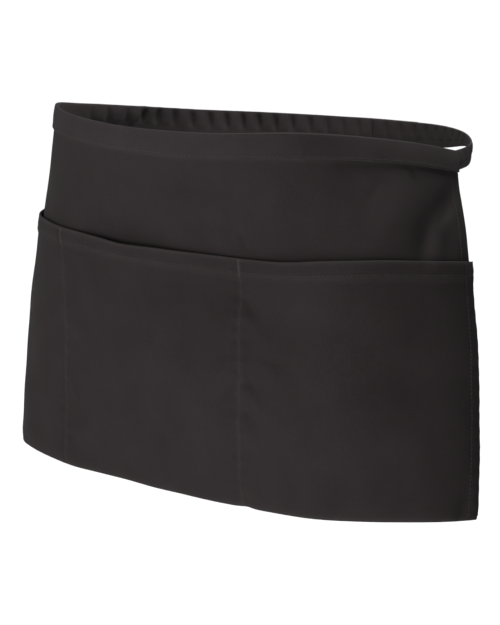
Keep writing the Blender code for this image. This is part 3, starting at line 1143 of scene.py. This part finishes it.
@dataclass
class Waistband(Assembly):
    """The folded tape that holds the cloth's top edge between its two walls.

    Its front swells between the edges and steps out below the stitch row, with small tucks along
    the row. The gathers come in over gather_ease, from the place across gather_start on.
    """

    columns: int = 620
    swell: float = 0.0005
    foot: float = 0.0002
    tuck: float = 0.00022
    tuck_pitch: float = 0.0072
    gather_start: float = -0.70
    gather_ease: float = 0.20
    top_run: float = 0.0015

    def cloth(self) -> bpy.types.Object:
        """The band's section, carried across: up its front, half a round over the top, down its back.

        On the back the gathers stand further out between their creases.
        """
        sizes, drape = self.sizes, self.drape
        across = np.linspace(-1, 1, self.columns + 1)
        depth = np.linspace(sizes.band_height, sizes.fold_outside, 12)
        row_line = sizes.band_height - sizes.band_row
        wide, deep = np.meshgrid(across, depth)
        share = (deep - sizes.fold_outside) / (sizes.band_height - sizes.fold_outside)
        tucks = ripple(wide * sizes.width / 2, self.tuck_pitch) * bell(deep, row_line, 0.004)
        swell = (self.swell * np.sin(math.pi * np.clip(share * 1.12, 0, 1)) ** 1.2
                 + self.foot * smooth_step((deep - row_line) / 0.0015) + self.tuck * tucks)
        creases = self.gathered_creases(wide)
        swollen = (1 - creases) * GATHERS.profile(share) * self.gathered(wide)
        front = drape.layer(wide, deep, sizes.layer + swell)
        back = drape.layer(wide, deep, -sizes.layer - swell - GATHERS.depth * swollen)[::-1]
        crest = drape.spot(across, sizes.fold_outside)
        over = crest.arc(crest.point, sizes.layer, -np.linspace(0, math.pi, 11)[1:-1])
        points = np.concatenate([front, over, back])[::-1]
        top = np.linspace(self.top_run, -self.top_run, len(over))
        run = np.concatenate([depth, top, -depth[::-1]])[::-1, None]
        weave = weave_map(across[None, :] * sizes.width / 2, run)
        wear = 0.15 * (bell(run, 0.0, 0.0022) + bell(np.abs(run), sizes.band_height, 0.0010))
        piece = make_piece("band", Cloth(points, weave, wear), self.finish, sizes.cloth)
        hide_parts("waistband")
        return piece

    def gathered(self, across: np.ndarray) -> np.ndarray:
        """Share of the gathers, which come in towards the band's hidden right end."""
        return smooth_step((self.gather_start - across) / self.gather_ease)

    def gathered_creases(self, across: np.ndarray) -> np.ndarray:
        """The ties' creases as they go on inside the band."""
        return GATHERS.creases(-(across + 1) * self.sizes.width / 2)

    def stitches(self) -> bpy.types.Object:
        """The row above the band's lower edge, seen on both of its faces."""
        sizes = self.sizes
        half = sizes.width / 2
        spot = self.drape.spot(ROW.places(-half, half) / half, sizes.band_height - sizes.band_row)
        stand = sizes.layer + sizes.cloth / 2 + 0.00012
        rows = [ROW.row(spot.off(stand * face), spot.sideways, spot.outward * face)
                for face in (1, -1)]
        return self.sew("band_stitches", rows, "waistband")

    def build(self) -> None:
        cloth = self.cloth()
        self.pieces = [cloth, self.stitches()]


@dataclass
class Ties(Assembly):
    """The two gathered tapes that go on from the band's ends and meet in a knot at the back.

    The tapes turn upright over the distance twist, are end_thickness thick beside the band, and
    have weaker gathers, by near_strength, on the left up to full_from. The knot's half sizes run
    along the tapes, up and outwards, and it is seated knot_seat further in than its solid.
    """

    steps: int = 620
    twist: float = 0.06
    lap_ease: float = 0.03
    thickness: float = 0.0017
    end_thickness: float = 0.0032
    end_ease: float = 0.02
    cad_thickness: float = 0.0016
    near_strength: float = 0.30
    full_from: float = 0.28
    strength_ease: float = 0.10
    knot_half: tuple = (0.0127, 0.0070, 0.0049)
    knot_seat: float = 0.0007
    knot_ridge: float = 0.00035

    def __post_init__(self) -> None:
        """Work out the run: where the tapes' upper edge goes and which way their faces look."""
        sizes = self.sizes
        share, path = walk(TIE_HEADINGS, sizes.tie_run)
        ends = self.drape.spot(np.array([1.0, -1.0]), sizes.fold_outside)
        corners = ends.point - ends.downward * sizes.fold_outside
        plan = path + corners[0, :2]
        plan += share[:, None] * (corners[1, :2] - plan[-1])
        rise = smooth_row(TIE_RISE, share) * sizes.length
        height = rise + corners[0, 2] - rise[0]
        height += share * (corners[1, 2] - height[-1])
        at = np.linspace(0, 1, self.steps + 1)
        self.distance = at * sizes.tie_run
        self.upper = read_rows(at, share, np.column_stack([plan, height]))
        self.forward = unit(np.gradient(self.upper, axis=0))
        near = np.minimum(self.distance, sizes.tie_run - self.distance)
        upright = smooth_step(near / self.twist)[:, None]
        slanted = np.where((at < 0.5)[:, None], ends.downward[0], ends.downward[1])
        self.downward = unit(slanted * (1 - upright) + np.array([0.0, 0.0, -1.0]) * upright)
        self.outward = unit(np.cross(self.downward, self.forward))
        self.height = sizes.tie_height * smooth_row(TIE_DRAWN, at)
        strengthening = smooth_step((self.distance - self.full_from) / self.strength_ease)
        self.strength = self.near_strength + (1 - self.near_strength) * strengthening
        ending = 1 - smooth_step(near / self.end_ease)
        self.bulk = self.thickness + (self.end_thickness - self.thickness) * ending

    def tape(self, name: str, node: str, first: int, last: int,
             offset: np.ndarray) -> bpy.types.Object:
        """A tape between two steps of the run, as a flat rounded section carried along it.

        Round the section by an angle, the share down is (1 - c)/2 with c the cosine to the power
        0.8, and the offset from the middle is half the thickness times the sine to the power 0.3.
        The gathers move the section out and in, and the hem below them is thinner on both faces.

        Args:
            name: the piece's name.
            node: the solid that it replaces.
            first: the first step of the run.
            last: the last step of the run.
            offset: how far outside the run's middle it lies at each of its steps, in metres.

        Returns:
            The piece.
        """
        part = slice(first, last + 1)
        turn = np.arange(36) / 36 * 2 * math.pi + 0.02
        share = (1 - squared_off(np.cos(turn), 0.8)) / 2
        sine = squared_off(np.sin(turn), 0.3)
        thin = 0.40 * smooth_step((share - GATHERS.hem) / 0.03) + 0.50 * bell(share, GATHERS.hem, 0.024)
        creases = GATHERS.creases(self.sizes.tie_run - self.distance[part]) * self.strength[part]
        crease = creases[None, :] * GATHERS.profile(share)[:, None]
        half = (sine * (1 - thin))[:, None] * (1 - 0.4 * crease) * self.bulk[None, part] / 2
        shift = offset[None, :] + GATHERS.depth * crease + half
        depth = share[:, None] * self.height[None, part]
        points = (self.upper[None, part] + self.downward[None, part] * depth[..., None]
                  + self.outward[None, part] * shift[..., None])
        steps = np.hypot(np.diff(share * self.sizes.tie_height), np.diff(sine * self.thickness / 2))
        around = np.concatenate([[0], np.cumsum(steps)])
        weave = weave_map(self.distance[None, part], around[:, None])
        edges = (0.25 * bell(share, 0.0, 0.06) + 0.20 * bell(share, 1.0, 0.05))[:, None]
        # Paler worn edges, and swells painted paler than the creases: painted shade in the creases of
        # the gathers.
        wear = np.clip(edges + 0.08 * (1 - np.clip(crease, 0, 1)), 0, 1)
        piece = make_piece(name, Cloth(points, weave, wear, round_rows=True, caps=True), self.finish)
        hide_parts(node)
        return piece

    def stitches(self, name: str, node: str, first: int, last: int,
                 offset: np.ndarray) -> bpy.types.Object:
        """The row along a tape's hem, on both of its faces.

        Args:
            name: the piece's name.
            node: the CAD node of the tape, passed on to sew, which doesn't use it.
            first: the first step of the run.
            last: the last step of the run.
            offset: how far outside the run's middle the tape lies at each step, in metres.

        Returns:
            The piece.
        """
        at = TIE_ROW.places(self.distance[first], self.distance[last])
        upper, down, out, ahead = (read_rows(at, self.distance, values) for values in
                                   (self.upper, self.downward, self.outward, self.forward))
        height = np.interp(at, self.distance, self.height) * (GATHERS.hem + 0.05)
        aside = np.interp(at, self.distance[first:last + 1], offset)
        bulk = np.interp(at, self.distance, self.bulk) / 2 * 0.56
        middle = upper + down * height[:, None] + out * aside[:, None]
        rows = [TIE_ROW.row(middle + out * (bulk * face)[:, None], ahead, out * face)
                for face in (1, -1)]
        return self.sew(name, rows, node)

    def knot(self) -> bpy.types.Object:
        """The knot: a rounded block wrapped by a turn of tape, outside the lap.

        A point at a latitude and a longitude is the powers 0.55 of their sines and cosines times
        the half sizes. Slanting waves stand for the turns of the tape.
        """
        low, high = (np.array(corner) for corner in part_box("tie_knot"))
        out, down = self.outward[self.steps // 2], self.downward[self.steps // 2]
        lon, lat = np.meshgrid(np.linspace(0, 2 * math.pi, 41), np.linspace(0, math.pi, 22)[1:-1])
        ridge = self.knot_ridge * np.sin(3 * lon + 4 * np.cos(lat)) * np.sin(lat)
        wide, high_half, deep = self.knot_half
        ring = squared_off(np.sin(lat), 0.55)
        local = np.stack([ring * squared_off(np.cos(lon), 0.55) * (wide + ridge),
                          ring * squared_off(np.sin(lon), 0.55) * (high_half + ridge),
                          squared_off(np.cos(lat), 0.55) * deep], axis=-1)
        poles = [np.broadcast_to((0.0, 0.0, deep * end), local[:1].shape) for end in (1, -1)]
        local = np.concatenate([poles[0], local, poles[1]])
        centre = (low + high) / 2 - out * self.knot_seat
        points = centre + local @ np.array([unit(np.cross(out, down)), -down, out])
        weave = weave_map(np.linspace(0, 0.08, points.shape[1])[None, :],
                          np.linspace(0, 0.02, points.shape[0])[:, None])
        piece = make_piece("knot", Cloth(points, weave, np.full((1, 1), 0.12)), self.finish)
        weld = piece.modifiers.new("closed", "WELD")
        weld.merge_threshold = 1e-6
        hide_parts("tie_knot")
        return piece

    def build(self) -> None:
        sizes = self.sizes
        middle = self.steps // 2
        half_lap = round(sizes.tie_lap / 2 / sizes.tie_run * self.steps)
        last, first = middle + half_lap, middle - half_lap
        beyond = self.distance[first:] - self.distance[last] - sizes.clearance
        outside = (self.cad_thickness + sizes.clearance) * (1 - smooth_step(beyond / self.lap_ease))
        runs = (("left", 0, last, np.zeros(last + 1)), ("right", first, self.steps, outside))
        tapes = [self.tape(f"strap_{side}", f"tie_{side}", *run) for side, *run in runs]
        sewn = [self.stitches(f"strap_stitches_{side}", f"tie_{side}", *run) for side, *run in runs]
        self.pieces = [*tapes, *sewn, self.knot()]


# Studio -------------------------------------------------------------------------------------------

@dataclass(frozen=True)
class Lamp:
    """A soft square light: its target, its bearing and rise in degrees from it, distance, size
    and power."""

    name: str
    target: tuple
    bearing: float
    rise: float
    distance: float
    size: float
    power: float

    def build(self) -> None:
        """Hang the light and turn it to its target; a bearing of 0 is in front of the wearer."""
        data = bpy.data.lights.new(self.name, "AREA")
        data.shape = "SQUARE"
        data.size = self.size
        data.energy = self.power
        bearing, rise = math.radians(self.bearing), math.radians(self.rise)
        away = Vector((math.sin(bearing) * math.cos(rise), -math.cos(bearing) * math.cos(rise),
                       math.sin(rise)))
        lamp = place_object(self.name, data)
        lamp.location = Vector(self.target) + away * self.distance
        lamp.rotation_euler = (-away).to_track_quat("-Z", "Y").to_euler()


@dataclass
class Studio:
    """Plain pale floor, soft light from the front left of the picture, and the camera."""

    floor_height: float = -0.80
    floor_half: float = 45.0
    horizon: tuple = (0.01, (1.0, 1.0, 1.0, 1.0))
    zenith: tuple = (0.06, (0.07, 0.07, 0.07, 1.0))
    eye: tuple = (1.7123, -1.8176, 0.1956)
    bearing: float = 43.63
    pitch: float = 0.14038
    focal_pixels: float = 2990.1
    picture_height: int = 625
    sensor: float = 36.0
    overhead_power: float = 3.35
    overhead_lean: float = 12.0
    overhead_spread: float = 25.0
    lamps: tuple = (
        Lamp("key", (0.0, -0.05, -0.12), 12.0, 2.0, 3.0, 1.4, 104.0),
        Lamp("inside fill", (-0.17, 0.02, 0.0), 100.0, 48.0, 0.42, 0.20, 3.30),
    )

    def floor(self) -> None:
        """A flat floor under the apron, as a grid of squares."""
        side = np.linspace(-self.floor_half, self.floor_half, 9)
        east, north = np.meshgrid(side, side[::-1])
        points = np.stack([east, north, np.full_like(east, self.floor_height)], axis=-1)
        cloth = Cloth(points, weave_map(east, north), np.zeros((1, 1)))
        make_piece("floor", cloth, PALE_FLOOR.material())

    def sky(self) -> None:
        """Surroundings: pale at the horizon, dim above."""
        world = bpy.data.worlds.new("studio")
        world.use_nodes = True
        bpy.context.scene.world = world
        nodes, links = world.node_tree.nodes, world.node_tree.links
        place = nodes.new("ShaderNodeTexCoord")
        split = nodes.new("ShaderNodeSeparateXYZ")
        ramp = nodes.new("ShaderNodeValToRGB")
        for stop, (position, colour) in zip(ramp.color_ramp.elements, (self.horizon, self.zenith)):
            stop.position, stop.color = position, colour
        links.new(place.outputs["Generated"], split.inputs[0])
        links.new(split.outputs[2], ramp.inputs[0])
        links.new(ramp.outputs[0], nodes["Background"].inputs["Color"])
        nodes["Background"].inputs["Strength"].default_value = 1.0

    def overhead(self) -> None:
        """A soft light from above, a little to the wearer's right, that keeps the floor pale."""
        data = bpy.data.lights.new("overhead", "SUN")
        data.energy = self.overhead_power
        data.angle = math.radians(self.overhead_spread)
        lamp = place_object("overhead", data)
        lamp.location = (0, 0, 3)
        lamp.rotation_euler = (0, math.radians(-self.overhead_lean), 0)

    def camera(self) -> None:
        """The camera at the photograph's angle: the columns of its turn are right, up and back."""
        data = bpy.data.cameras.new("camera")
        data.sensor_width = self.sensor
        data.lens = self.focal_pixels * self.sensor / self.picture_height
        data.clip_start, data.clip_end = 0.05, 200.0
        bearing = math.radians(self.bearing)
        ahead = Vector((-math.sin(bearing) * math.cos(self.pitch),
                        math.cos(bearing) * math.cos(self.pitch), -math.sin(self.pitch)))
        right = Vector((math.cos(bearing), math.sin(bearing), 0.0))
        turn = Matrix((right, right.cross(ahead), -ahead)).transposed()
        camera = place_object("camera", data)
        camera.matrix_world = Matrix.Translation(self.eye) @ turn.to_4x4()
        bpy.context.scene.camera = camera

    def build(self) -> None:
        """Set up the floor, the surroundings, the lights and the camera."""
        self.floor()
        self.sky()
        self.overhead()
        for lamp in self.lamps:
            lamp.build()
        self.camera()
        bpy.context.scene.view_settings.view_transform = "Standard"


def main() -> None:
    """Build every sub-assembly in order, ride each piece on the part's body, and log it."""
    logging.basicConfig(level=logging.INFO, format="%(message)s", stream=sys.stdout)
    drape = Drape(SIZES)
    panel, binding = PANEL_TWILL.material(), BINDING_TWILL.material()
    thread = STITCH_THREAD.material()
    for assembly in (BodyPanel(drape, panel, thread), PocketPanel(drape, panel, thread),
                     Waistband(drape, binding, thread), Ties(drape, binding, thread)):
        assembly.build()
        for piece in assembly.pieces:
            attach(piece, BODY)
            log.info("%s: %s, %d faces", type(assembly).__name__, piece.name,
                     len(piece.data.polygons))
    Studio().build()


if __name__ == "__main__":
    main()
